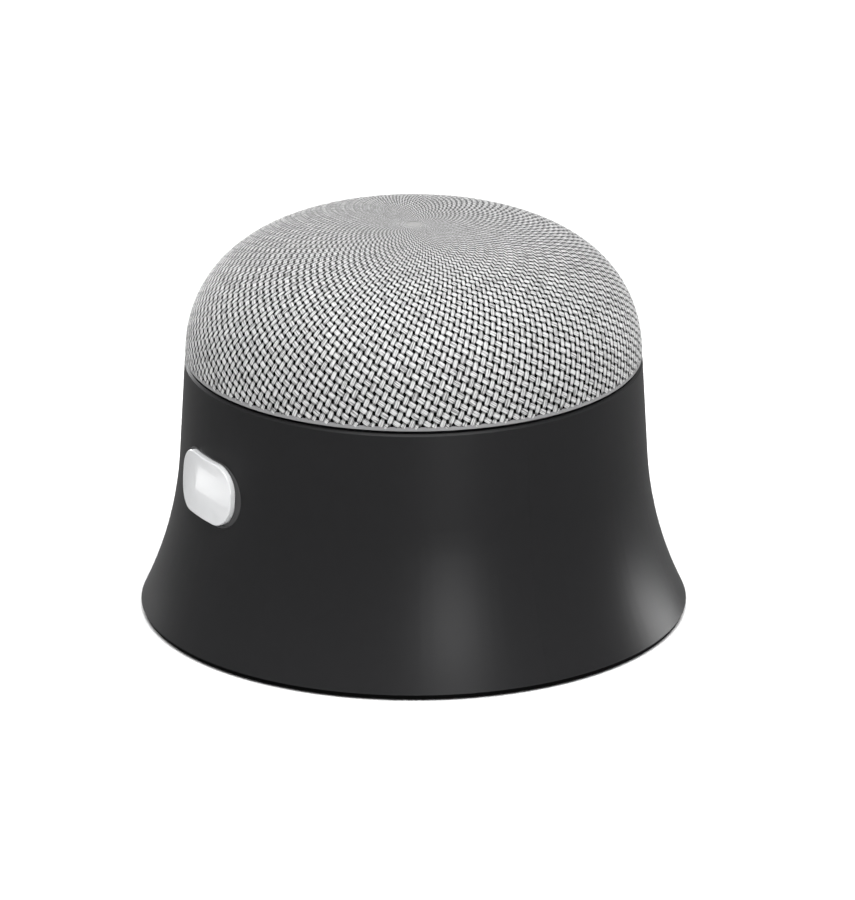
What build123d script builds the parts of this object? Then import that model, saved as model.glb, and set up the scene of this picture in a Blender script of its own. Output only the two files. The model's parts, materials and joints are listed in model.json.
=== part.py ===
"""Smart home hub: a flared housing with a woven loudspeaker dome on top and one push button.

Millimetres, +Z up. The origin is on the table under the centre of the hub. The button faces -Y
and the power socket faces +Y. Every function below makes one named piece or one group of them.
"""

import math
import os

from build123d import *

# ---- Driving dimensions -------------------------------------------------------------------
BASE_R = 44.1  # the flared foot of the housing
NECK_R = 36.7  # the housing's top edge, and the dome above it
HOUSING_Z = 1.0  # the housing's bottom edge, over the table
RIM_Z = 41.86  # the housing's top edge
FLARE_Z = 25.8  # the flare begins below this height
NECK_SLOPE = 0.0578  # how much the straight neck widens for each millimetre down
WALL = 2.3

DOME_Z = 42.2  # where the dome's outline starts, hidden behind the seam
DOME_H = 22.2  # the dome's crown over DOME_Z
DOME_ROUND_R = 3.0  # superellipse exponents of the dome's outline
DOME_ROUND_Z = 2.2
DOME_FOOT_Z = 42.99  # the fabric starts here
CLOTH_T = 0.8
SCRIM_T = 0.3
FRAME_T = 1.6
SKIN_GAP = 0.05  # between the dome's layers

SEAM = 0.47  # the dark seam between the rim and the dome's trim ring
FIT = 0.05  # radial clearance of a pressed or screwed piece

BUTTON_Z = 26.35
BUTTON_W, BUTTON_H = 16.0, 10.0
BUTTON_CORNER_R = 4.3
BUTTON_PROUD = 0.95  # the cap's face over the housing, which it follows
BUTTON_EDGE = 0.25  # the rounding of the cap's front edge
BUTTON_GAP = 0.1  # between the cap and its seal
SEAL_W, SEAL_H = 18.7, 10.8  # the housing's opening, filled by the soft seal
SEAL_Z = BUTTON_Z - 0.15  # the seal reaches a little further below the cap than above it
SEAL_PROUD = 0.15
SEAL_EDGE = 0.2
PAD_Y = -32.0  # the flat inner face of the button's frame
FLANGE_W, FLANGE_H, FLANGE_T = 21.0, 14.0, 1.0  # the cap's flange behind its frame
SWITCH_Y = -29.2  # the switch's front face
PLUNGER_PROUD = 1.0  # the plunger's tip, in front of the switch
BUTTON_BOARD_Y = -26.0  # the button board's front face
BUTTON_BOARD_T = 1.2
BUTTON_POSTS = (-15.5, 15.5)

BASE_Z, BASE_T = 0.2, 2.8  # the base plate's underside and thickness
BASE_INSET = 0.25  # the base plate's edge, inside the housing's
FOOT_IN, FOOT_OUT, FOOT_T = 35.8, 40.0, 1.1
BASE_SCREW_R = 32.6  # the radius of the four base screws
BASE_SEAT_Z = 1.9  # under the heads of the base screws
BOARD_Z, BOARD_T, BOARD_R = 7.0, 1.6, 28.0
BOARD_SCREW_R = 24.0

BAFFLE_Z, BAFFLE_T, BAFFLE_R = 38.5, 2.5, 34.2
BAFFLE_SCREW_R = 30.5
DRIVER_HOLE_R = 21.2
DRIVER_SCREW_R = 24.2
DRIVER_FLANGE_R = 26.5
GASKET_T = 0.8

SOCKET_Z = 10.23
SOCKET_FACE_Y = 39.2

QUARTERS = (45, 135, 225, 315)
AXES = (0, 90, 180, 270)

BAFFLE_TOP = BAFFLE_Z + BAFFLE_T
SKIRT_R = NECK_R - WALL - 0.2  # the trim ring's skirt inside the neck
SNAP = 0.6  # the bead that snaps the skirt into the neck's groove
FLANGE_Z = BAFFLE_TOP + GASKET_T  # under the driver's flange
BOARD_TOP = BOARD_Z + BOARD_T
BASE_TOP = BASE_Z + BASE_T


# ---- Helpers ------------------------------------------------------------------------------
def revolved(*edges):
    """A solid of revolution from a closed outline in the XZ plane."""
    return revolve(make_face(Curve() + list(edges)), Axis.Z)


def turned(*points):
    """A solid of revolution from straight runs between (radius, height) points."""
    outline = Polyline(*[(r, 0, z) for r, z in points], close=True)
    return revolve(make_face(outline), Axis.Z)


def tube(r_in, r_out, z0, z1):
    return turned((r_in, z0), (r_out, z0), (r_out, z1), (r_in, z1))


def disc(r, z0, z1, x=0.0, y=0.0):
    return Pos(x, y, (z0 + z1) / 2) * Cylinder(r, z1 - z0)


def rod_y(r, y0, y1, x=0.0, z=0.0):
    """A round bar along Y."""
    return Pos(x, (y0 + y1) / 2, z) * Rot(90, 0, 0) * Cylinder(r, abs(y1 - y0))


def block(x0, x1, y0, y1, z0, z1):
    return Pos((x0 + x1) / 2, (y0 + y1) / 2, (z0 + z1) / 2) * Box(x1 - x0, y1 - y0, z1 - z0)


def pill_y(width, height, y0, y1, z, round_r=None):
    """A pill-shaped bar along Y, wider than it is high."""
    radius = height / 2 - 0.01 if round_r is None else round_r
    sketch = Plane.XZ.offset(-y0) * Pos(0, z) * RectangleRounded(width, height, radius)
    return extrude(sketch, -(y1 - y0))


def at_angle(angle, radius):
    a = math.radians(angle)
    return radius * math.cos(a), radius * math.sin(a)


def around(angles, radius, r, z0, z1):
    """Equal upright cylinders round the axis."""
    return [disc(r, z0, z1, *at_angle(a, radius)) for a in angles]


def screw(shaft_r, head_r, tip_z, seat_z, head_h):
    """A pan-head screw, upright when tip_z is under seat_z, with a cross recess in its head."""
    up = 1 if seat_z > tip_z else -1
    top = seat_z + up * head_h
    body = disc(shaft_r, min(tip_z, seat_z), max(tip_z, seat_z))
    head = disc(head_r, min(seat_z, top), max(seat_z, top))
    head = fillet(head.edges().group_by(Axis.Z)[-1 if up > 0 else 0], head_h * 0.4)
    slot = head_r * 1.1
    cut_z = top - up * head_h * 0.45
    low, high = min(cut_z, top + up), max(cut_z, top + up)
    arm = head_r * 0.15
    cross = block(-slot / 2, slot / 2, -arm, arm, low, high)
    cross += block(-arm, arm, -slot / 2, slot / 2, low, high)
    return body + head - cross


def wire(radius, *points, bend=2.5):
    """A round lead along straight runs joined by arcs."""
    path = FilletPolyline(*points, radius=bend)
    return sweep(Plane(path @ 0, z_dir=path % 0) * Circle(radius), path)


def group(solids):
    return Compound(children=list(solids))


# ---- The housing's outline ----------------------------------------------------------------
FLARE_R = NECK_R + NECK_SLOPE * (RIM_Z - FLARE_Z)  # where the neck meets the flare


def flare_arc(shift):
    """The flare of the housing, tangent to its neck and moved inwards by shift."""
    start, end = (FLARE_R - shift, 0, FLARE_Z), (BASE_R - shift, 0, HOUSING_Z)
    return TangentArc(start, end, tangent=(NECK_SLOPE, 0, -1))


def housing_solid(shift):
    """The housing's outer form, solid, with its side moved inwards by shift."""
    arc = flare_arc(shift)
    neck = Line((NECK_R - shift, 0, RIM_Z), arc @ 0)
    top = Polyline(neck @ 0, (0, 0, RIM_Z), (0, 0, HOUSING_Z), arc @ 1)
    return revolved(neck, arc, top)


def housing_radius(z):
    """The outer radius of the straight neck at height z."""
    return NECK_R + NECK_SLOPE * (RIM_Z - z)


# ---- Housing and base ---------------------------------------------------------------------
def body_shell():
    outer = housing_solid(0)
    rim_edge = outer.edges().filter_by(GeomType.CIRCLE).group_by(Axis.Z)[-1]
    outer = chamfer(rim_edge, 0.35)
    shell = outer - housing_solid(WALL)

    ledge = tube(31.5, NECK_R, BAFFLE_Z - 2.0, BAFFLE_Z)
    inside = [ledge]
    inside += around(QUARTERS, BAFFLE_SCREW_R, 3.25, BAFFLE_Z - 8.5, BAFFLE_Z)
    inside += around(QUARTERS, BASE_SCREW_R, 3.5, BASE_TOP, BASE_TOP + 12)
    rib = block(BASE_SCREW_R, BASE_R, -1, 1, BASE_TOP + 1, BASE_TOP + 11)
    inside += [Rot(0, 0, a) * rib for a in QUARTERS]
    pad = block(-15, 15, -NECK_R, PAD_Y, BUTTON_Z - 9.5, BUTTON_Z + 9.5)
    posts = [rod_y(2.4, -NECK_R, BUTTON_BOARD_Y, x, BUTTON_Z) for x in BUTTON_POSTS]
    inside += [pad, *posts]
    shell += Part() + inside & housing_solid(WALL / 2)

    shell -= pill_y(SEAL_W, SEAL_H, -BASE_R, PAD_Y + 1, SEAL_Z)
    shell -= pill_y(9.6, 3.9, 30, BASE_R, SOCKET_Z)
    shell -= pill_y(13.0, 7.2, SOCKET_FACE_Y, BASE_R, SOCKET_Z)
    shell -= tube(30, SKIRT_R + SNAP + 0.2, BAFFLE_TOP - FIT, BAFFLE_TOP + 0.6 + FIT)
    holes = around(QUARTERS, BAFFLE_SCREW_R, 1.05, BAFFLE_Z - 7, BAFFLE_Z + 1)
    holes += around(QUARTERS, BASE_SCREW_R, 1.05, BASE_TOP - 1, BASE_TOP + 9)
    holes += [rod_y(0.85, -31, BUTTON_BOARD_Y + 1, x, BUTTON_Z) for x in BUTTON_POSTS]
    return shell - holes


def base_plate():
    plate = disc(BASE_R - BASE_INSET, BASE_Z, HOUSING_Z) + disc(40.6, HOUSING_Z, BASE_TOP)
    plate = fillet(plate.edges().group_by(Axis.Z)[0], 0.25)
    plate -= tube(FOOT_IN - FIT, FOOT_OUT + FIT, 0, FOOT_T)
    plate += around(QUARTERS, BOARD_SCREW_R, 3.0, BASE_TOP - 0.5, BOARD_Z)
    holes = around(QUARTERS, BASE_SCREW_R, 1.4, 0, BASE_TOP + 1)
    holes += around(QUARTERS, BASE_SCREW_R, 2.5, 0, BASE_SEAT_Z)
    holes += around(QUARTERS, BOARD_SCREW_R, 0.85, BASE_TOP - 0.5, BOARD_Z + 1)
    return plate - holes


def foot_ring():
    ring = tube(FOOT_IN, FOOT_OUT, 0, FOOT_T)
    return fillet(ring.edges().group_by(Axis.Z)[0], 0.3)


def base_screws():
    one = screw(1.0, 2.2, BASE_TOP + 7, BASE_SEAT_Z, 1.3)
    return group(Pos(*at_angle(a, BASE_SCREW_R)) * one for a in QUARTERS)


# ---- The dome -----------------------------------------------------------------------------
def dome_curve(thinner, foot_z):
    """The dome's outline, thinner millimetres inside the outer one, from foot_z to the crown."""
    radius, height = NECK_R - thinner, DOME_H - thinner
    start = math.asin(((foot_z - DOME_Z) / height) ** (DOME_ROUND_Z / 2))
    steps = 9
    points = []
    for i in range(steps):
        t = start + (math.pi / 2 - start) * i / (steps - 1)
        r = radius * max(0.0, math.cos(t)) ** (2 / DOME_ROUND_R)
        points.append((r, 0, DOME_Z + height * math.sin(t) ** (2 / DOME_ROUND_Z)))
    points[-1] = (0, 0, DOME_Z + height)
    return Spline(*points, tangents=[(0, 0, 1), (-1, 0, 0)])


def dome_shell(thinner, thickness, foot_z):
    outer = dome_curve(thinner, foot_z)
    inner = dome_curve(thinner + thickness, foot_z)
    return revolved(outer, Line(outer @ 1, inner @ 1), inner, Line(inner @ 0, outer @ 0))


SCRIM_IN = CLOTH_T + SKIN_GAP
FRAME_IN = SCRIM_IN + SCRIM_T + SKIN_GAP


def grille_frame():
    """The stiff dome under the fabric, with radial windows and two hoops."""
    frame = dome_shell(FRAME_IN, FRAME_T, DOME_FOOT_Z)
    high = DOME_Z + DOME_H + 1
    outer_slot = block(21.0, NECK_R, -1.9, 1.9, DOME_FOOT_Z + 4.0, high)
    inner_slot = block(7.0, 18.5, -1.4, 1.4, DOME_FOOT_Z + 4.0, high)
    slots = [Rot(0, 0, 15 * i) * outer_slot for i in range(24)]
    slots += [Rot(0, 0, 30 * i) * inner_slot for i in range(12)]
    return frame - slots


def trim_ring():
    """The light ring under the fabric's edge, snapped into the housing's neck."""
    lip_z = RIM_Z + SEAM
    lip_r = NECK_R - 0.1
    return turned(
        (SKIRT_R - 1.6, BAFFLE_TOP),
        (SKIRT_R + SNAP, BAFFLE_TOP),
        (SKIRT_R + SNAP, BAFFLE_TOP + 0.1),
        (SKIRT_R, BAFFLE_TOP + 0.6),
        (SKIRT_R, lip_z),
        (lip_r - 0.15, lip_z),
        (lip_r, lip_z + 0.15),
        (lip_r, DOME_FOOT_Z - 0.1),
        (lip_r - 0.1, DOME_FOOT_Z),
        (SKIRT_R - 1.6, DOME_FOOT_Z),
    )


# ---- The button ---------------------------------------------------------------------------
def curved_front(bar, proud, edge_r):
    """A bar along Y cut off where it follows the housing's surface, its front edge rounded."""
    bar &= housing_solid(-proud)
    front = bar.faces().sort_by(Axis.Y)[0]
    return fillet(front.edges(), edge_r)


def button_cap():
    flange_y = PAD_Y + 0.1
    flange_back = flange_y + FLANGE_T
    bar = pill_y(BUTTON_W, BUTTON_H, -BASE_R, flange_y, BUTTON_Z, BUTTON_CORNER_R)
    bar = curved_front(bar, BUTTON_PROUD, BUTTON_EDGE)
    flange = pill_y(FLANGE_W, FLANGE_H, flange_y, flange_back, BUTTON_Z)
    post = rod_y(2.2, flange_back, SWITCH_Y - PLUNGER_PROUD, 0, BUTTON_Z)
    return bar + flange + post


def button_seal():
    """The soft sleeve between the cap and the housing, nearly flush with the housing's surface."""
    sleeve = pill_y(SEAL_W - 2 * FIT, SEAL_H - 2 * FIT, -BASE_R, PAD_Y, SEAL_Z)
    width, height = BUTTON_W + 2 * BUTTON_GAP, BUTTON_H + 2 * BUTTON_GAP
    corner_r = BUTTON_CORNER_R + BUTTON_GAP
    opening = pill_y(width, height, -BASE_R, PAD_Y + 1, BUTTON_Z, corner_r)
    return curved_front(sleeve, SEAL_PROUD, SEAL_EDGE) - opening


def button_board():
    y1 = BUTTON_BOARD_Y + BUTTON_BOARD_T
    board = block(-18.5, 18.5, BUTTON_BOARD_Y, y1, BUTTON_Z - 7, BUTTON_Z + 7)
    board = fillet(board.edges().filter_by(Axis.Y), 1.5)
    return board - [rod_y(1.1, BUTTON_BOARD_Y - 1, y1 + 1, x, BUTTON_Z) for x in BUTTON_POSTS]


def button_board_screws():
    one = Rot(-90, 0, 0) * screw(0.8, 1.8, -5.8, 0, 1.2)
    seat = BUTTON_BOARD_Y + BUTTON_BOARD_T
    return group(Pos(x, seat, BUTTON_Z) * one for x in BUTTON_POSTS)


def button_switch():
    half = 3.0
    body = block(-half, half, SWITCH_Y, BUTTON_BOARD_Y, BUTTON_Z - half, BUTTON_Z + half)
    body = chamfer(body.edges().filter_by(Axis.Y), 0.4)
    return body - rod_y(1.75, SWITCH_Y - 1, SWITCH_Y + 2.5, 0, BUTTON_Z)


def switch_plunger():
    return rod_y(1.7, SWITCH_Y - PLUNGER_PROUD, SWITCH_Y + 1.6, 0, BUTTON_Z)


def status_leds():
    y0 = BUTTON_BOARD_Y - 0.9
    z0, z1 = BUTTON_Z - 0.7, BUTTON_Z + 0.7
    return group(block(x - 1, x + 1, y0, BUTTON_BOARD_Y, z0, z1) for x in (-7, 7))


def button_ribbon():
    """The flat cable from the button board down to the main board."""
    thick = 0.3
    y0 = BUTTON_BOARD_Y + BUTTON_BOARD_T + thick / 2
    runs = [(9, y0, 23), (9, y0, 17), (9, y0 + 3.5, 11), (9, y0 + 3.5, BOARD_TOP)]
    path = FilletPolyline(*runs, radius=2.5)
    return sweep(Plane(path @ 0, z_dir=path % 0, x_dir=(1, 0, 0)) * Rectangle(7, thick), path)


# ---- The main board -----------------------------------------------------------------------
def main_board():
    board = disc(BOARD_R, BOARD_Z, BOARD_TOP)
    board += block(-8, 8, 20, 36.5, BOARD_Z, BOARD_TOP)
    return board - around(QUARTERS, BOARD_SCREW_R, 1.1, BOARD_Z - 1, BOARD_TOP + 1)


def main_board_screws():
    one = screw(0.8, 1.9, BOARD_Z - 3, BOARD_TOP, 1.3)
    return group(Pos(*at_angle(a, BOARD_SCREW_R)) * one for a in QUARTERS)


def radio_shield():
    can = block(-22, -7, -9, 5, BOARD_TOP, BOARD_TOP + 2.4)
    can = fillet(can.edges().filter_by(Axis.Z), 0.8)
    return can - block(-21.7, -7.3, -8.7, 4.7, BOARD_TOP - 1, BOARD_TOP + 2.1)


def board_chips():
    radio = block(-18, -11, -5.5, 1.5, BOARD_TOP, BOARD_TOP + 1.0)
    processor = block(3, 15, -9, 3, BOARD_TOP, BOARD_TOP + 1.3)
    memory = block(5, 13, 6, 14, BOARD_TOP, BOARD_TOP + 0.9)
    amplifier = block(-9, -4, 11, 16, BOARD_TOP, BOARD_TOP + 0.9)
    return group([radio, processor, memory, amplifier])


def board_capacitors():
    cans = []
    for x, y, r, height in ((-14, 12.5, 3.15, 6.5), (-3, -15, 2.5, 5.5), (4, -15, 2.5, 5.5)):
        can = disc(r, BOARD_TOP, BOARD_TOP + height, x, y)
        cans.append(fillet(can.edges().group_by(Axis.Z)[-1], 0.4))
    return group(cans)


def socket_shell():
    """The metal shell of the power socket on the board's rear tongue."""
    back = SOCKET_FACE_Y - 7.35
    outer = pill_y(8.94, 3.26, back, SOCKET_FACE_Y, SOCKET_Z)
    return outer - pill_y(8.34, 2.66, back + 0.3, SOCKET_FACE_Y + 1, SOCKET_Z)


def socket_tongue():
    back = SOCKET_FACE_Y - 7.0
    heel = pill_y(8.2, 2.5, back, back + 1.5, SOCKET_Z)
    low, high = SOCKET_Z - 0.35, SOCKET_Z + 0.35
    return heel + block(-3.35, 3.35, back + 1.4, SOCKET_FACE_Y - 0.9, low, high)


def speaker_connector():
    housing = block(-3.5, 3.5, 13.5, 18.5, BOARD_TOP, BOARD_TOP + 4.2)
    return housing - block(-2.8, 2.8, 17.0, 19, BOARD_TOP + 1.0, BOARD_TOP + 3.5)


def speaker_leads():
    leads = []
    for side in (-1, 1):
        runs = [(side * 2.4, 22.0, 35.2), (side * 2.4, 23.6, 28.0), (side * 2.2, 23.0, 18.0)]
        runs += [(side * 1.3, 20.6, 11.6), (side * 1.3, 17.2, BOARD_TOP + 2.2)]
        leads.append(wire(0.55, *runs))
    return group(leads)


def antenna_strip():
    """A thin radio antenna stuck to the inside of the neck."""
    z0, z1 = FLARE_Z + 1.0, FLARE_Z + 9.0
    r0, r1 = (housing_radius(z) - WALL - FIT for z in (z0, z1))
    corners = [(r0, 0, z0), (r1, 0, z1), (r1 - 0.3, 0, z1), (r0 - 0.3, 0, z0)]
    strip = revolve(make_face(Polyline(*corners, close=True)), Axis.Z, 50)
    return Rot(0, 0, -25) * strip


def antenna_lead():
    r = housing_radius(FLARE_Z + 2) - WALL - 1.1
    runs = [(r, 0, FLARE_Z + 3.0), (r - 0.6, 0, 22.0), (27.0, 0, 15.0), (20.5, 0, BOARD_TOP + 0.7)]
    return wire(0.55, *runs)


# ---- The loudspeaker ----------------------------------------------------------------------
def baffle_plate():
    """The deck that carries the loudspeaker and closes the housing."""
    plate = tube(DRIVER_HOLE_R, BAFFLE_R, BAFFLE_Z, BAFFLE_TOP)
    holes = around(QUARTERS, BAFFLE_SCREW_R, 1.4, BAFFLE_Z - 1, BAFFLE_TOP + 1)
    holes += around(AXES, DRIVER_SCREW_R, 0.95, BAFFLE_Z - 1, BAFFLE_TOP + 1)
    return plate - holes


def baffle_screws():
    one = screw(1.0, 2.0, BAFFLE_Z - 5.5, BAFFLE_TOP, 1.3)
    return group(Pos(*at_angle(a, BAFFLE_SCREW_R)) * one for a in QUARTERS)


def driver_gasket():
    ring = tube(DRIVER_HOLE_R + 0.2, DRIVER_FLANGE_R - 0.3, BAFFLE_TOP, FLANGE_Z)
    return ring - around(AXES, DRIVER_SCREW_R, 1.3, BAFFLE_TOP - 1, FLANGE_Z + 1)


FLANGE_TOP = FLANGE_Z + 1.2
BASKET_FLOOR = FLANGE_Z - 11.4
MAGNET_TOP = BASKET_FLOOR - 2.5
MAGNET_Z = MAGNET_TOP - 6.0
POLE_R, GAP_R = 6.8, 8.5


def driver_basket():
    floor = BASKET_FLOOR
    basket = turned(
        (DRIVER_FLANGE_R, FLANGE_TOP),
        (DRIVER_FLANGE_R, FLANGE_Z),
        (21.0, FLANGE_Z),
        (20.6, FLANGE_Z - 2.5),
        (18.2, floor + 2.5),
        (18.2, floor),
        (8.6, floor),
        (8.6, floor + 1.2),
        (15.4, floor + 1.2),
        (15.4, floor + 2.6),
        (17.0, floor + 2.6),
        (17.0, floor + 3.6),
        (19.5, FLANGE_Z - 2.5),
        (20.4, FLANGE_TOP),
    )
    window = block(14, 24, -4.2, 4.2, floor + 4.2, FLANGE_Z - 2.8)
    basket -= [Rot(0, 0, 30 + 60 * i) * window for i in range(6)]
    basket += block(-4.5, 4.5, 18.6, 20.6, floor + 5.2, floor + 6.4) - disc(18.4, 30, 40)
    return basket - around(AXES, DRIVER_SCREW_R, 1.2, FLANGE_Z - 1, FLANGE_TOP + 1)


def driver_terminals():
    return block(-4.5, 4.5, 20.65, 21.45, BASKET_FLOOR + 3.4, BASKET_FLOOR + 7.4)


def driver_screws():
    one = screw(0.9, 1.9, BAFFLE_Z + 0.4, FLANGE_TOP, 1.2)
    return group(Pos(*at_angle(a, DRIVER_SCREW_R)) * one for a in AXES)


def driver_top_plate():
    return tube(GAP_R, 17.0, MAGNET_TOP, BASKET_FLOOR)


def driver_magnet():
    return tube(10.0, 18.0, MAGNET_Z, MAGNET_TOP)


def driver_yoke():
    back = disc(17.0, MAGNET_Z - 2.7, MAGNET_Z)
    pole = disc(POLE_R, MAGNET_Z - 0.1, BASKET_FLOOR)
    return back + pole - disc(2.0, MAGNET_Z - 4, BASKET_FLOOR + 1)


COIL_IN = 7.3
SPIDER_Z = BASKET_FLOOR + 2.6
CONE_NECK_Z = BASKET_FLOOR + 4.6
CONE_EDGE_Z = FLANGE_TOP - 0.4


def voice_coil():
    """The coil former with its winding round the lower end."""
    return turned(
        (COIL_IN, MAGNET_TOP - 1.6),
        (COIL_IN + 0.7, MAGNET_TOP - 1.6),
        (COIL_IN + 0.7, BASKET_FLOOR + 1.0),
        (COIL_IN + 0.2, BASKET_FLOOR + 1.0),
        (COIL_IN + 0.2, CONE_NECK_Z + 0.6),
        (COIL_IN, CONE_NECK_Z + 0.6),
    )


def driver_spider():
    """The corrugated disc that centres the voice coil."""
    r0, r1, height, waves = COIL_IN + 0.25, 16.9, 0.45, 4
    rise = [height * math.sin(math.pi * i / 2) for i in range(4 * waves + 1)]
    step = (r1 - r0) / (4 * waves)
    low = Spline(*[(r0 + step * i, 0, SPIDER_Z + height + 0.03 + h) for i, h in enumerate(rise)])
    high = low.moved(Location((0, 0, 0.3)))
    return revolved(low, Line(low @ 1, high @ 1), high, Line(high @ 0, low @ 0))


def driver_cone():
    return turned(
        (COIL_IN + 0.25, CONE_NECK_Z),
        (17.6, CONE_EDGE_Z - 0.45),
        (18.2, CONE_EDGE_Z - 0.45),
        (18.2, CONE_EDGE_Z),
        (17.4, CONE_EDGE_Z),
        (COIL_IN + 0.25, CONE_NECK_Z + 0.55),
    )


def dust_cap():
    """The small dome over the voice coil, standing on the cone."""
    foot_z, foot_r, rise, t = CONE_NECK_Z + 2.2, 9.2, 2.4, 0.4
    outer = TangentArc((0, 0, foot_z + rise), (foot_r, 0, foot_z), tangent=(1, 0, 0))
    inner = TangentArc((0, 0, foot_z + rise - t), (foot_r - t, 0, foot_z), tangent=(1, 0, 0))
    return revolved(outer, Line(outer @ 0, inner @ 0), inner, Line(inner @ 1, outer @ 1))


def driver_surround():
    """The half-roll rubber edge between the cone and the basket's flange."""
    mid, roll, t = 19.4, 1.35, 0.4
    z_in, z_out = CONE_EDGE_Z, FLANGE_TOP
    inner_land = tube(16.9, mid - roll + t / 2, z_in, z_in + t)
    outer_land = tube(mid + roll - t / 2, 22.2, z_out, z_out + t)
    ring = Pos(mid, 0, z_out + 0.1) * Rot(90, 0, 0) * (Circle(roll + t / 2) - Circle(roll - t / 2))
    top_half = block(0, 30, -1, 1, z_out + 0.1, z_out + 5)
    roll_ring = revolve(ring, Axis.Z) & tube(10, 30, z_out + 0.1, z_out + 5)
    leg = tube(mid - roll - t / 2, mid - roll + t / 2, z_in, z_out + 0.11)
    return roll_ring + leg + inner_land + outer_land


PIECES = {
    "body_shell": body_shell,
    "base_plate": base_plate,
    "foot_ring": foot_ring,
    "base_screws": base_screws,
    "trim_ring": trim_ring,
    "grille_cloth": lambda: dome_shell(0, CLOTH_T, DOME_FOOT_Z),
    "acoustic_scrim": lambda: dome_shell(SCRIM_IN, SCRIM_T, DOME_FOOT_Z),
    "grille_frame": grille_frame,
    "button_cap": button_cap,
    "button_seal": button_seal,
    "button_board": button_board,
    "button_board_screws": button_board_screws,
    "button_switch": button_switch,
    "switch_plunger": switch_plunger,
    "status_leds": status_leds,
    "button_ribbon": button_ribbon,
    "main_board": main_board,
    "main_board_screws": main_board_screws,
    "radio_shield": radio_shield,
    "board_chips": board_chips,
    "board_capacitors": board_capacitors,
    "socket_shell": socket_shell,
    "socket_tongue": socket_tongue,
    "speaker_connector": speaker_connector,
    "speaker_leads": speaker_leads,
    "antenna_strip": antenna_strip,
    "antenna_lead": antenna_lead,
    "baffle_plate": baffle_plate,
    "baffle_screws": baffle_screws,
    "driver_gasket": driver_gasket,
    "driver_basket": driver_basket,
    "driver_terminals": driver_terminals,
    "driver_screws": driver_screws,
    "driver_top_plate": driver_top_plate,
    "driver_magnet": driver_magnet,
    "driver_yoke": driver_yoke,
    "voice_coil": voice_coil,
    "driver_spider": driver_spider,
    "driver_cone": driver_cone,
    "dust_cap": dust_cap,
    "driver_surround": driver_surround,
}

os.makedirs("parts", exist_ok=True)
for name, make in PIECES.items():
    export_step(make(), f"parts/{name}.step")
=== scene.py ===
import json
import math

import bpy
import numpy as np
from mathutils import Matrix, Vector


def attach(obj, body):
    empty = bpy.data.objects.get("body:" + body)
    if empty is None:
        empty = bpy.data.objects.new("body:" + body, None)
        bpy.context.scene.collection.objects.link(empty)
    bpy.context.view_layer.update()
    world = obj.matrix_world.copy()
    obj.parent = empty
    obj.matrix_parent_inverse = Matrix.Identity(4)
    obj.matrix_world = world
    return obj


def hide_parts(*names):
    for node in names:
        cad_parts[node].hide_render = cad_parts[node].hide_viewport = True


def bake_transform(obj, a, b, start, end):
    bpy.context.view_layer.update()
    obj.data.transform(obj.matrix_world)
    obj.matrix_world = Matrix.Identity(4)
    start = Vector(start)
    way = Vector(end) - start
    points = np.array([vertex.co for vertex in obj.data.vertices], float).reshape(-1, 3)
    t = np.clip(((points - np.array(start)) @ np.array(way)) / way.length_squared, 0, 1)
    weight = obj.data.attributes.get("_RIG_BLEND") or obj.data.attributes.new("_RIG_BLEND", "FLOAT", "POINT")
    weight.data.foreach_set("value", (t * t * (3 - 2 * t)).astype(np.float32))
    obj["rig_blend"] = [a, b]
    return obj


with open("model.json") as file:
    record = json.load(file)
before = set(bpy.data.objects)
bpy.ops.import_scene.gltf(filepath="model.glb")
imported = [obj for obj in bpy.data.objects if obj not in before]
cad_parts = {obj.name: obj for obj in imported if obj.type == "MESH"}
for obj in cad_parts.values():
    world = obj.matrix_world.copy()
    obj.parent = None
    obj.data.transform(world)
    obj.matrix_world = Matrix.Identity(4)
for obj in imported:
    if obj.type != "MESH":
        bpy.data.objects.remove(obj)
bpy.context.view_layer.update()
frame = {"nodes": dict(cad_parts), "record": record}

MM = 0.001
NECK_R = 36.7 * MM
HOUSING_Z = 1.0 * MM
DOME_Z = 42.2 * MM  # where the dome's outline starts
DOME_H = 22.2 * MM
FOOT_Z = 42.98 * MM  # the yarns are cut off flush with the trim ring

# ---- Camera: the photograph's -------------------------------------------------------------------
AZIMUTH, PITCH = math.radians(60.9), math.radians(20.15)
BASE_R = 44.0 * MM
AWAY, ABOVE = 28.205 * BASE_R, 10.912 * BASE_R
SENSOR, LENS = 36.0, 328.44  # millimetres, as the camera has them
SHIFT_X, SHIFT_Y = 0.015333, 0.000889  # shares of the picture's long side

camera = bpy.data.objects.new("camera", bpy.data.cameras.new("camera"))
bpy.context.scene.collection.objects.link(camera)
camera.data.sensor_width = SENSOR
camera.data.lens = LENS
camera.data.shift_x = SHIFT_X
camera.data.shift_y = SHIFT_Y
camera.data.clip_start, camera.data.clip_end = 0.05, 50.0
camera.location = (AWAY * math.sin(AZIMUTH), -AWAY * math.cos(AZIMUTH), HOUSING_Z + ABOVE)
camera.rotation_euler = (math.pi / 2 - PITCH, 0.0, AZIMUTH)
bpy.context.scene.camera = camera
bpy.context.scene.view_settings.view_transform = "Standard"

# ---- Materials ----------------------------------------------------------------------------------
BROAD_SHARE = 0.06  # the broad pattern's scale, as a share of the grain's
ROUGH_SPREAD = 0.05  # how far the roughness varies each way
GRAIN_DEPTH = 0.1 * MM
YARN_RELIEF = 0.05 * MM
STREAK_SCALE = (0.45, 2.4, 1.0)  # fibre streaks along and across a yarn


def rgb(red, green, blue):
    """Linear colour from display values of 0 to 255."""
    out = []
    for value in (red, green, blue):
        v = value / 255
        out.append(v / 12.92 if v <= 0.04045 else ((v + 0.055) / 1.055) ** 2.4)
    return (*out, 1.0)


def grey(level):
    return rgb(level, level, level)


def new_material(name):
    material = bpy.data.materials.new(name)
    material.use_nodes = True
    nodes, links = material.node_tree.nodes, material.node_tree.links
    return material, nodes, links, nodes["Principled BSDF"]


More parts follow.
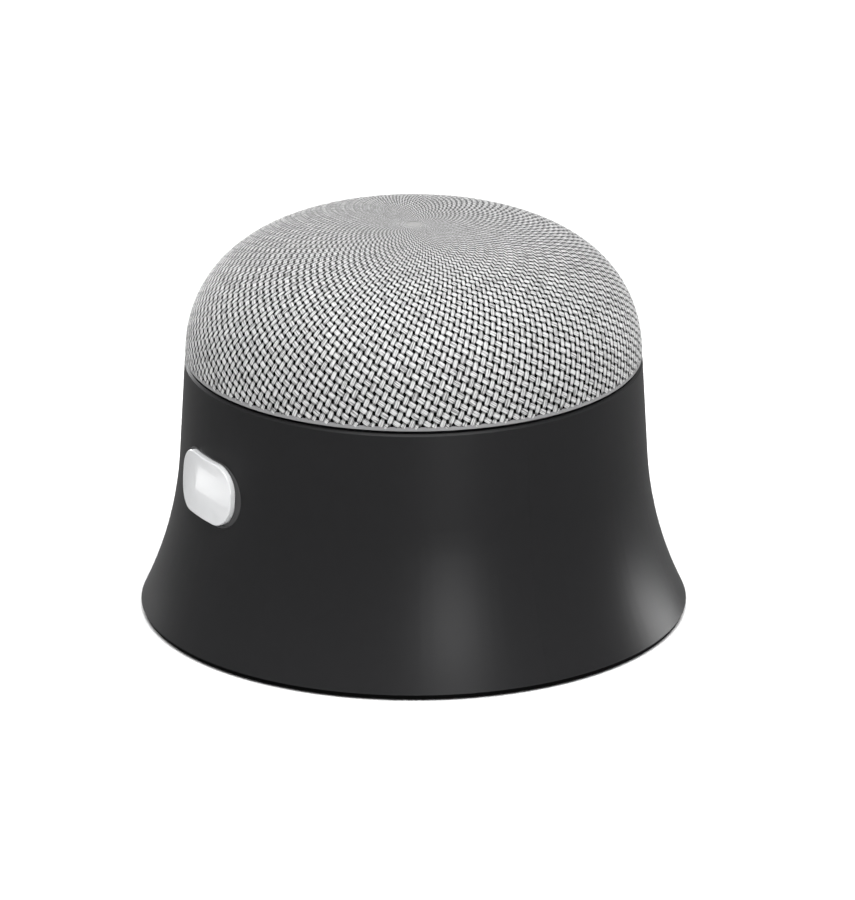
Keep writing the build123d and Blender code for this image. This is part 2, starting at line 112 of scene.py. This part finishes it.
def noise(nodes, links, place, scale, detail):
    """A noise texture over a place."""
    texture = nodes.new("ShaderNodeTexNoise")
    texture.inputs["Scale"].default_value = scale
    texture.inputs["Detail"].default_value = detail
    links.new(place, texture.inputs["Vector"])
    return texture.outputs["Fac"]


def scaled(nodes, links, place, scale):
    node = nodes.new("ShaderNodeMapping")
    node.inputs["Scale"].default_value = scale
    links.new(place, node.inputs["Vector"])
    return node.outputs["Vector"]


def bumped(nodes, links, shader, height, strength, distance):
    """Raises the shader's surface by a height pattern."""
    node = nodes.new("ShaderNodeBump")
    node.inputs["Strength"].default_value = strength
    node.inputs["Distance"].default_value = distance
    links.new(height, node.inputs["Height"])
    links.new(node.outputs["Normal"], shader.inputs["Normal"])


def finish_of(name, colour, rough, metal=0.0, grain=900.0, vary=0.08, bump=0.05, stretch=(1, 1, 1), **extra):
    """Moulded, cast or brushed stuff: colour and roughness vary a little, and a fine grain bumps it."""
    material, nodes, links, shader = new_material(name)
    place = scaled(nodes, links, nodes.new("ShaderNodeTexCoord").outputs["Object"], stretch)
    fine = noise(nodes, links, place, grain, 3.0)
    broad = noise(nodes, links, place, grain * BROAD_SHARE, 4.0)
    tone = nodes.new("ShaderNodeMix")
    tone.data_type = "RGBA"
    dark = tuple(c * (1 - vary) for c in colour[:3])
    light = tuple(min(1.0, c * (1 + vary)) for c in colour[:3])
    tone.inputs["A"].default_value = (*dark, 1.0)
    tone.inputs["B"].default_value = (*light, 1.0)
    links.new(broad, tone.inputs["Factor"])
    links.new(tone.outputs["Result"], shader.inputs["Base Color"])
    spread = nodes.new("ShaderNodeMapRange")
    spread.inputs["To Min"].default_value = max(0.02, rough - ROUGH_SPREAD)
    spread.inputs["To Max"].default_value = min(1.0, rough + ROUGH_SPREAD)
    links.new(fine, spread.inputs["Value"])
    links.new(spread.outputs["Result"], shader.inputs["Roughness"])
    bumped(nodes, links, shader, fine, bump, GRAIN_DEPTH)
    shader.inputs["Metallic"].default_value = metal
    for key, value in extra.items():
        shader.inputs[key.replace("_", " ")].default_value = value
    return material


FINISHES = {
    "housing_plastic": dict(
        colour=rgb(33, 33, 34), rough=0.35, grain=5200, vary=0.04, bump=0.05, Specular_IOR_Level=0.1
    ),
    "base_plastic": dict(colour=rgb(4, 4, 4), rough=0.7, grain=4000, bump=0.1, Specular_IOR_Level=0.05),
    "foot_rubber": dict(colour=rgb(22, 22, 22), rough=0.85, grain=2500, bump=0.2),
    "trim_grey": dict(colour=rgb(138, 138, 139), rough=0.5, grain=3500, bump=0.05, Specular_IOR_Level=0.3),
    "scrim": dict(colour=rgb(6, 6, 6), rough=0.95, grain=2500, bump=0.3, Specular_IOR_Level=0.05),
    "frame_plastic": dict(colour=rgb(22, 22, 23), rough=0.6, grain=2500, bump=0.1),
    "seal_rubber": dict(colour=rgb(64, 64, 65), rough=0.7, grain=3500, bump=0.1, Specular_IOR_Level=0.15),
    "board_green": dict(colour=rgb(16, 74, 48), rough=0.35, grain=700, vary=0.25, bump=0.04),
    "board_black": dict(colour=rgb(20, 22, 24), rough=0.35, grain=700, vary=0.2, bump=0.04),
    "zinc_screw": dict(colour=rgb(190, 190, 188), rough=0.32, metal=1.0, grain=1500, bump=0.06),
    "black_screw": dict(colour=rgb(48, 48, 52), rough=0.4, metal=1.0, grain=1500, bump=0.06),
    "switch_black": dict(colour=rgb(28, 28, 28), rough=0.5, grain=1800, bump=0.06),
    "plunger_white": dict(colour=rgb(215, 214, 208), rough=0.4, grain=1800, bump=0.04),
    "led_white": dict(colour=rgb(232, 230, 208), rough=0.15, grain=1800, bump=0.02),
    "ribbon_film": dict(colour=rgb(205, 208, 212), rough=0.25, grain=900, bump=0.05, stretch=(6, 0.2, 0.2)),
    "chip_black": dict(colour=rgb(26, 26, 28), rough=0.5, grain=2500, bump=0.12),
    "can_aluminium": dict(colour=rgb(205, 205, 207), rough=0.3, metal=1.0, grain=900, bump=0.05),
    "shield_steel": dict(
        colour=rgb(195, 195, 197), rough=0.33, metal=1.0, grain=700, stretch=(1, 8, 1), bump=0.05
    ),
    "socket_steel": dict(colour=rgb(185, 185, 187), rough=0.3, metal=1.0, grain=1200, bump=0.04),
    "connector_nylon": dict(colour=rgb(222, 217, 200), rough=0.5, grain=1800, bump=0.06),
    "lead_red": dict(colour=rgb(150, 20, 18), rough=0.45, grain=1500, bump=0.04),
    "lead_grey": dict(colour=rgb(90, 90, 94), rough=0.45, grain=1500, bump=0.04),
    "antenna_copper": dict(colour=rgb(205, 130, 80), rough=0.35, metal=1.0, grain=900, bump=0.05),
    "gasket_foam": dict(colour=rgb(30, 30, 30), rough=0.95, grain=1800, bump=0.5),
    "basket_steel": dict(colour=rgb(26, 26, 28), rough=0.4, grain=1500, bump=0.08),
    "terminal_board": dict(colour=rgb(120, 78, 44), rough=0.55, grain=900, vary=0.2, bump=0.1),
    "motor_steel": dict(colour=rgb(178, 176, 168), rough=0.38, metal=1.0, grain=1200, vary=0.12, bump=0.06),
    "ferrite": dict(colour=rgb(58, 58, 62), rough=0.65, grain=1200, vary=0.15, bump=0.15),
    "coil_copper": dict(
        colour=rgb(186, 96, 48), rough=0.3, metal=1.0, grain=900, stretch=(0.3, 0.3, 12), bump=0.4
    ),
    "spider_cloth": dict(colour=rgb(184, 146, 72), rough=0.8, grain=2600, vary=0.2, bump=0.6),
    "cone_paper": dict(colour=rgb(34, 34, 36), rough=0.85, grain=1400, vary=0.2, bump=0.4),
    "surround_rubber": dict(colour=rgb(28, 28, 29), rough=0.55, grain=1800, bump=0.08),
}


def button_material():
    """White, faintly translucent moulding under a gloss coat."""
    material = finish_of("button_white", rgb(206, 207, 208), 0.3, grain=2200, vary=0.01, bump=0.01)
    shader = material.node_tree.nodes["Principled BSDF"]
    shader.inputs["Subsurface Weight"].default_value = 0.35
    shader.inputs["Subsurface Radius"].default_value = (1.0, 1.0, 1.0)
    shader.inputs["Subsurface Scale"].default_value = 1.2 * MM
    shader.inputs["Coat Weight"].default_value = 0.6
    shader.inputs["Coat Roughness"].default_value = 0.08
    return material


def ramp(nodes, links, value, *stops):
    """A colour ramp over a value, from (position, display grey) stops in rising order."""
    node = nodes.new("ShaderNodeValToRGB")
    for position, _ in stops[1:-1]:
        node.color_ramp.elements.new(position)
    for element, (position, level) in zip(node.color_ramp.elements, stops):
        element.position = position
        element.color = grey(level)
    links.new(value, node.inputs["Fac"])
    return node.outputs["Color"]


def product(nodes, links, first, second):
    node = nodes.new("ShaderNodeMix")
    node.data_type = "RGBA"
    node.blend_type = "MULTIPLY"
    node.inputs["Factor"].default_value = 1.0
    links.new(first, node.inputs["A"])
    links.new(second, node.inputs["B"])
    return node.outputs["Result"]


def uv_place(nodes, name):
    node = nodes.new("ShaderNodeUVMap")
    node.uv_map = name
    return node.outputs["UV"]


def yarn_material():
    """Matt white polyester yarn, streaked along its fibres, with painted shade where it dips under the other
    yarns and painted near-black shade at the corners of the holes.
    """
    material, nodes, links, shader = new_material("yarn")
    place = scaled(nodes, links, uv_place(nodes, "yarn"), STREAK_SCALE)
    streaks = noise(nodes, links, place, 1.0, 2.0)
    lie = nodes.new("ShaderNodeSeparateXYZ")
    links.new(uv_place(nodes, "lie"), lie.inputs["Vector"])
    fibres = ramp(nodes, links, streaks, (0.38, 113), (0.52, 198))
    # Painted shade: the yarn is darkened where it dips under the other family's yarns, and darkened to near
    # black at the corners of the holes; only the fibre streaks are the yarn's own tone.
    painted_dip_shade = ramp(nodes, links, lie.outputs["X"], (0.15, 50), (0.45, 140), (0.72, 255))
    corners = ramp(nodes, links, lie.outputs["Y"], (0.45, 255), (0.72, 4))
    tone = product(nodes, links, product(nodes, links, fibres, painted_dip_shade), corners)
    links.new(tone, shader.inputs["Base Color"])
    bumped(nodes, links, shader, streaks, 0.3, YARN_RELIEF)
    shader.inputs["Roughness"].default_value = 0.6
    shader.inputs["Sheen Weight"].default_value = 0.1
    shader.inputs["Sheen Roughness"].default_value = 0.5
    return material


materials = {slot: finish_of(slot, **values) for slot, values in FINISHES.items()}
materials["button_white"] = button_material()
materials["cloth"] = yarn_material()
slot_of = {row["node"]: row["material_slot"] for row in frame["record"]["subparts"]}
for node, piece in frame["nodes"].items():
    piece.data.materials.clear()
    piece.data.materials.append(materials[slot_of[node]])

# ---- The woven dome -----------------------------------------------------------------------------
# Two families of yarns spiral up from the rim to the crown, opposite ways, in a plain weave.
# Each family has a number of yarns round the rim and a rate at which it also climbs (per metre).
LOW_COUNT, LOW_CLIMB = 96, 636.0
STEEP_COUNT, STEEP_CLIMB = 190, -320.0
YARN_W = 0.29  # half a yarn's width, as a share of its pitch
YARN_T = 0.07 * MM
WAVE = 0.05 * MM  # how far a yarn rises and dips over its neighbours
SUNK = 0.14 * MM  # the yarns' mid-level under the dome's outer surface
GROUND = 0.3 * MM  # the dark layer seen through the weave, under the dome's outer surface
FULL_PITCH = 1.15 * MM  # yarns set closer than this are thinner in proportion, towards the crown
THINNEST = 0.12  # the least such proportion
GROOVE = 0.26  # depth of the grooves between a yarn's filaments, as a share of its thickness
ROUNDING = 0.98  # how far a yarn's section is a half round, from 0 to 1
SWELL = 0.05  # how much wider a yarn is where it lies on top
CROWN_R = 21.5 * MM  # inside this radius the yarns carry less detail
POLE_R = 1.3 * MM
LOW_SIDE = dict(across=7, along=4, filaments=2, seed=11)
STEEP_SIDE = dict(across=7, along=4, filaments=3, seed=12)
LOW_CROWN = dict(across=5, along=3, filaments=2, seed=11)
STEEP_CROWN = dict(across=5, along=3, filaments=2, seed=12)
BOSS_R, BOSS_RISE, BOSS_SUNK = 1.75 * MM, 0.3 * MM, 0.38 * MM


def dome_table(count=4000):
    """Arc length from the rim, with the radius and height there, up to the crown."""
    t = np.linspace(0.0, math.pi / 2, count)
    r = NECK_R * np.cos(t).clip(0) ** (2 / 3)
    z = DOME_Z + DOME_H * np.sin(t) ** (2 / 2.2)
    s = np.concatenate([[0.0], np.cumsum(np.hypot(np.diff(r), np.diff(z)))])
    return s, r, z


S, R, Z = dome_table()


def on_dome(s):
    """Radius, height, and the outline's unit tangent (up the dome) at arc length s."""
    step = 0.02 * MM
    r, z = np.interp(s, S, R), np.interp(s, S, Z)
    dr = np.interp(s + step, S, R) - np.interp(s - step, S, R)
    dz = np.interp(s + step, S, Z) - np.interp(s - step, S, Z)
    length = np.hypot(dr, dz)
    return r, z, dr / length, dz / length


def mesh_piece(name, points, quads, **uv_maps):
    """An object from points and four-cornered faces, without the points that no face uses."""
    used, quads = np.unique(quads, return_inverse=True)
    quads = quads.reshape(-1, 4)
    points = points[used]
    mesh = bpy.data.meshes.new(name)
    mesh.vertices.add(len(points))
    mesh.vertices.foreach_set("co", points.astype(np.float32).ravel())
    mesh.loops.add(quads.size)
    mesh.loops.foreach_set("vertex_index", quads.astype(np.int32).ravel())
    mesh.polygons.add(len(quads))
    mesh.polygons.foreach_set("loop_start", np.arange(0, quads.size, 4, dtype=np.int32))
    mesh.update(calc_edges=True)
    mesh.polygons.foreach_set("use_smooth", np.ones(len(quads), dtype=bool))
    for uv_name, uv in uv_maps.items():
        layer = mesh.uv_layers.new(name=uv_name)
        layer.data.foreach_set("uv", uv[used][quads].astype(np.float32).ravel())
    mesh.validate()
    piece = bpy.data.objects.new(name, mesh)
    bpy.context.scene.collection.objects.link(piece)
    return piece


def yarn_family(name, family, s_from, s_to, across, along, filaments, seed):
    """All the yarns of one family between two arc lengths, each an arched ribbon of fine filaments.

    It has so many points across, and so many along for each yarn of the other family that it meets.
    """
    count, climb, other_count, other_climb, phase = family
    random = np.random.default_rng(seed)
    own = np.arange(count)[:, None]
    ratio = other_count / count
    # Along a yarn the other family's count changes steadily with arc length: samples sit on it.
    rate = other_climb - ratio * climb
    first = np.sort(np.stack([ratio * own + rate * s_from, ratio * own + rate * s_to]), axis=0)
    low = np.floor(first[0] * along).astype(int)
    steps = int(np.ceil(abs(rate) * (s_to - s_from) * along)) + 2
    other = (low + np.arange(steps)[None, :]) / along
    s = np.clip((other - ratio * own) / rate, s_from, s_to)
    other = ratio * own + rate * s

    # The yarn's line on the dome, with its own directions along, across and out of the cloth.
    theta = 2 * math.pi * (own - climb * s) / count
    r, z, tr, tz = on_dome(s)
    ct, st = np.cos(theta), np.sin(theta)
    normal = np.stack([tz * ct, tz * st, -tr], axis=-1)
    up = np.stack([tr * ct, tr * st, tz], axis=-1)
    side = np.stack([-st, ct, np.zeros_like(st)], axis=-1)
    turn = -2 * math.pi * climb / count * r  # metres round for each metre up
    ahead = up + turn[..., None] * side
    ahead /= np.linalg.norm(ahead, axis=-1, keepdims=True)
    across_way = np.cross(normal, ahead)
    pitch = 1 / np.hypot(count / (2 * math.pi * r), climb)
    scale = np.clip(pitch / FULL_PITCH, THINNEST, 1.0)
    over = np.cos(math.pi * (other + own + phase))  # 1 where this yarn lies on top
    level = WAVE * scale * over - SUNK

    # The ribbon's section: an arch with a ridge for each filament, which twist and vary a little.
    wander = random.uniform(-1, 1, (count, 1))
    twist = random.uniform(0.0, 1.0, (count, 1)) + other * random.uniform(0.08, 0.2, (count, 1))
    bite = random.uniform(0.5, 1.0, (count, 1)) * (0.75 + 0.25 * np.sin(other * 1.7 + 9 * wander))
    u = np.linspace(-1, 1, across)
    arch = np.sqrt(np.clip(1 - ROUNDING * u**2, 0, 1))
    ridges = 0.5 - 0.5 * np.cos(2 * math.pi * (filaments / 2 * u[None, None, :] + twist[..., None]))
    depth = GROOVE * bite[..., None] * ridges
    height = (YARN_T * scale)[..., None] * arch * (1 - depth)
    half = YARN_W * pitch * (1 + SWELL * over)
    base = np.stack([r * ct, r * st, z], axis=-1) + level[..., None] * normal
    points = (
        base[:, :, None, :]
        + (half[..., None] * u)[..., None] * across_way[:, :, None, :]
        + height[..., None] * normal[:, :, None, :]
    )

    index = np.arange(count * steps * across).reshape(count, steps, across)
    corners = [index[:, :-1, :-1], index[:, 1:, :-1], index[:, 1:, 1:], index[:, :-1, 1:]]
    kept = np.abs(np.diff(s, axis=1)) > 1e-7
    quads = np.stack(corners, axis=-1)[kept].reshape(-1, 4)
    if rate > 0:
        quads = quads[:, ::-1]
    yarn = np.stack(np.broadcast_arrays(other[..., None], u + 3.7 * own[..., None]), axis=-1)
    hole_shade_mask = u**2 * (1 - over[..., None] ** 2) ** 2  # 1 at the corners of the holes, where the yarn gets painted shade down to near black
    # This UV map carries where the yarn lies on top and the hole corners, which drive the yarn's painted
    # shade.
    lie = np.stack(np.broadcast_arrays(0.5 + 0.5 * over[..., None], hole_shade_mask), axis=-1)
    return mesh_piece(name, points.reshape(-1, 3), quads, yarn=yarn.reshape(-1, 2), lie=lie.reshape(-1, 2))


def lathe(name, outline, count=192):
    """An open surface turned about Z through (radius, height) points."""
    outline = np.array(outline)
    angle = np.linspace(0, 2 * math.pi, count, endpoint=False)[:, None]
    r, z = outline[None, :, 0], outline[None, :, 1]
    points = np.stack(np.broadcast_arrays(r * np.cos(angle), r * np.sin(angle), z + 0 * angle), axis=-1)
    index = np.arange(count * len(outline)).reshape(count, -1)
    after = np.roll(index, -1, axis=0)
    quads = np.stack([index[:, :-1], after[:, :-1], after[:, 1:], index[:, 1:]], axis=-1)
    return mesh_piece(name, points.reshape(-1, 3), quads.reshape(-1, 4))


s_foot = float(np.interp(FOOT_Z, Z, S))
s_crown = float(np.interp(-CROWN_R, -R, S))
s_pole = float(np.interp(-POLE_R, -R, S))
low_family = (LOW_COUNT, LOW_CLIMB, STEEP_COUNT, STEEP_CLIMB, 0)
steep_family = (STEEP_COUNT, STEEP_CLIMB, LOW_COUNT, LOW_CLIMB, 1)
side_span = (s_foot, s_crown)
crown_span = (s_crown, s_pole)
yarns = [
    yarn_family("yarns_low_side", low_family, *side_span, **LOW_SIDE),
    yarn_family("yarns_steep_side", steep_family, *side_span, **STEEP_SIDE),
    yarn_family("yarns_low_crown", low_family, *crown_span, **LOW_CROWN),
    yarn_family("yarns_steep_crown", steep_family, *crown_span, **STEEP_CROWN),
]
for yarn in yarns:
    yarn.data.materials.append(materials["cloth"])
    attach(yarn, "housing")

ground_s = np.linspace(s_foot, s_pole, 60)
gr, gz, gtr, gtz = on_dome(ground_s)
ground = lathe("cloth_ground", np.stack([gr - GROUND * gtz, gz + GROUND * gtr], axis=-1))
ground.data.materials.append(materials["scrim"])
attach(ground, "housing")

# Where the yarns meet at the crown they are heat-sealed into a small flat boss.
t = np.linspace(0, math.pi / 2, 8)
boss_r = BOSS_R * np.cos(t).clip(0.02)
boss_z = DOME_Z + DOME_H - BOSS_SUNK + BOSS_RISE * np.sin(t)
boss = lathe("cloth_boss", np.stack([boss_r, boss_z], axis=-1), 48)
boss.data.materials.append(finish_of("cloth_seal", rgb(147, 147, 146), 0.8, grain=4000, bump=0.3))
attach(boss, "housing")
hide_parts("grille_cloth")

# ---- The loudspeaker's soft rings ---------------------------------------------------------------
SURROUND_INNER, SURROUND_OUTER = 18.25 * MM, 20.5 * MM
SPIDER_INNER, SPIDER_OUTER = 8.0 * MM, 16.4 * MM


def flexing(node, cone_r, housing_r):
    """Stands for a CAD ring: it follows the cone inside cone_r and the housing outside housing_r."""
    mesh = frame["nodes"][node].data.copy()
    piece = bpy.data.objects.new(node + "_flexing", mesh)
    bpy.context.scene.collection.objects.link(piece)
    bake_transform(piece, "housing", "cone", start=(housing_r, 0, 0), end=(cone_r, 0, 0))
    at = np.empty(3 * len(mesh.vertices))
    mesh.vertices.foreach_get("co", at)
    radius = np.hypot(at[0::3], at[1::3])
    share = np.clip((housing_r - radius) / (housing_r - cone_r), 0, 1)
    share = share**2 * (3 - 2 * share)
    mesh.attributes["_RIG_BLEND"].data.foreach_set("value", share.astype(np.float32))
    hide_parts(node)


flexing("driver_surround", SURROUND_INNER, SURROUND_OUTER)
flexing("driver_spider", SPIDER_INNER, SPIDER_OUTER)

# ---- Floor and light ----------------------------------------------------------------------------
VIEW = math.degrees(AZIMUTH)
FLOOR_R = 6.0
HUB_MIDDLE = (0, 0, 0.03)
BUTTON_FACE = (4.0 * MM, -39.1 * MM, 27.5 * MM)
SKY_LOW, SKY_HIGH = 0.32, 0.75

floor = lathe("floor", [(0.001 * MM, 0.0), (1.0, 0.0), (FLOOR_R, 0.0)], 64)
paper = finish_of("floor", grey(248), 0.9, grain=60, vary=0.0, bump=0.0, Specular_IOR_Level=0.1)
floor.data.materials.append(paper)
floor.visible_glossy = False


def softbox(name, azimuth, elevation, distance, width, height, power, aim=HUB_MIDDLE):
    """A rectangular light at a bearing and height (degrees) round the point that it faces."""
    lamp = bpy.data.lights.new(name, "AREA")
    lamp.shape = "RECTANGLE"
    lamp.size, lamp.size_y = width, height
    lamp.energy = power
    lit = bpy.data.objects.new(name, lamp)
    bpy.context.scene.collection.objects.link(lit)
    a, e = math.radians(azimuth), math.radians(elevation)
    lit.location = (
        aim[0] + distance * math.sin(a) * math.cos(e),
        aim[1] - distance * math.cos(a) * math.cos(e),
        aim[2] + distance * math.sin(e),
    )
    back = lit.location - type(lit.location)(aim)
    lit.rotation_euler = back.to_track_quat("Z", "Y").to_euler()
    return lit


softbox("top", VIEW + 10, 75, distance=1.1, width=0.9, height=0.9, power=17.0)
gleams = [
    softbox("front_gleam", VIEW + 17, 9, distance=1.2, width=0.42, height=0.7, power=9.5),
    softbox("right_gleam", VIEW + 123, 2, distance=1.0, width=0.5, height=0.2, power=4.1),
    softbox("left_gleam", VIEW - 143, 5, distance=1.0, width=0.36, height=0.16, power=2.8),
]
for gleam in gleams:
    gleam.visible_diffuse = False

# A narrow card close to the button, out of view, that its gloss coat mirrors as a band.
card = softbox("card", -51, -16.8, 20 * MM, width=17 * MM, height=3.6 * MM, power=0.00045, aim=BUTTON_FACE)
card.rotation_euler.rotate_axis("Z", math.radians(-7))
card.visible_camera = False
card.visible_diffuse = False

world = bpy.data.worlds.new("studio")
bpy.context.scene.world = world
world.use_nodes = True
sky = world.node_tree
bearing = sky.nodes.new("ShaderNodeTexCoord")
upward = sky.nodes.new("ShaderNodeSeparateXYZ")
glow = sky.nodes.new("ShaderNodeMapRange")
glow.inputs["To Min"].default_value = SKY_LOW
glow.inputs["To Max"].default_value = SKY_HIGH
sky.links.new(bearing.outputs["Generated"], upward.inputs["Vector"])
sky.links.new(upward.outputs["Z"], glow.inputs["Value"])
sky.links.new(glow.outputs["Result"], sky.nodes["Background"].inputs["Strength"])
sky.nodes["Background"].inputs["Color"].default_value = (1, 1, 1, 1)
